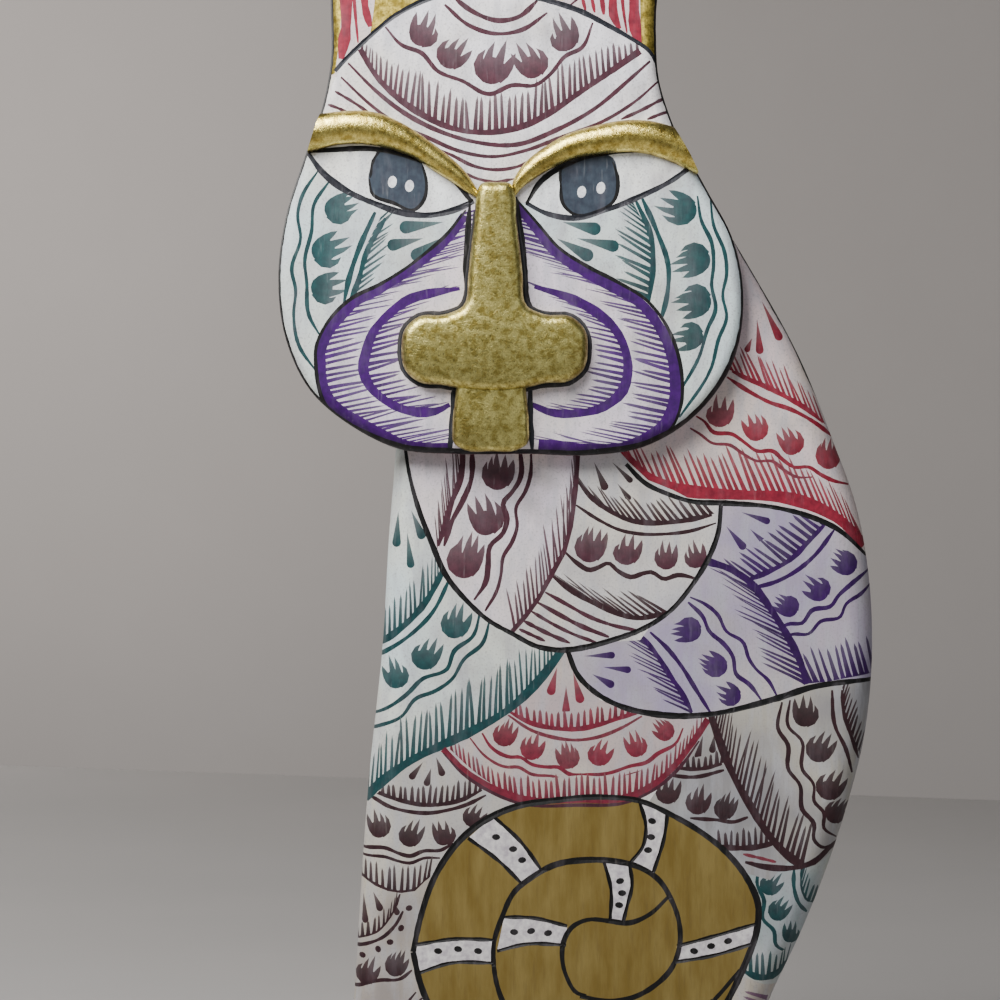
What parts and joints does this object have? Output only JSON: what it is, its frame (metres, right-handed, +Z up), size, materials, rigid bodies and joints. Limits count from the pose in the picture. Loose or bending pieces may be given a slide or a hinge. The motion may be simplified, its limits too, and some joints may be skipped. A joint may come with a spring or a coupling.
{
  "type": "cat figurine",
  "caption": "Carved and painted wooden board cat with a raised face, standing on its own low base.",
  "frame": {"origin": "centre of the base's underside, where the figure stands", "axes": "+Z up the figure, -Y out of its face"},
  "size_m": [0.1877, 0.0685, 0.4],
  "materials": {
    "painted_wood": "thin matt paint over carved wood",
    "gold_leaf": "worn gold leaf on the brows, nose, mouth and ears"
  },
  "bodies": {
    "root": {"cat_figurine": "painted_wood"}
  },
  "joints": []
}
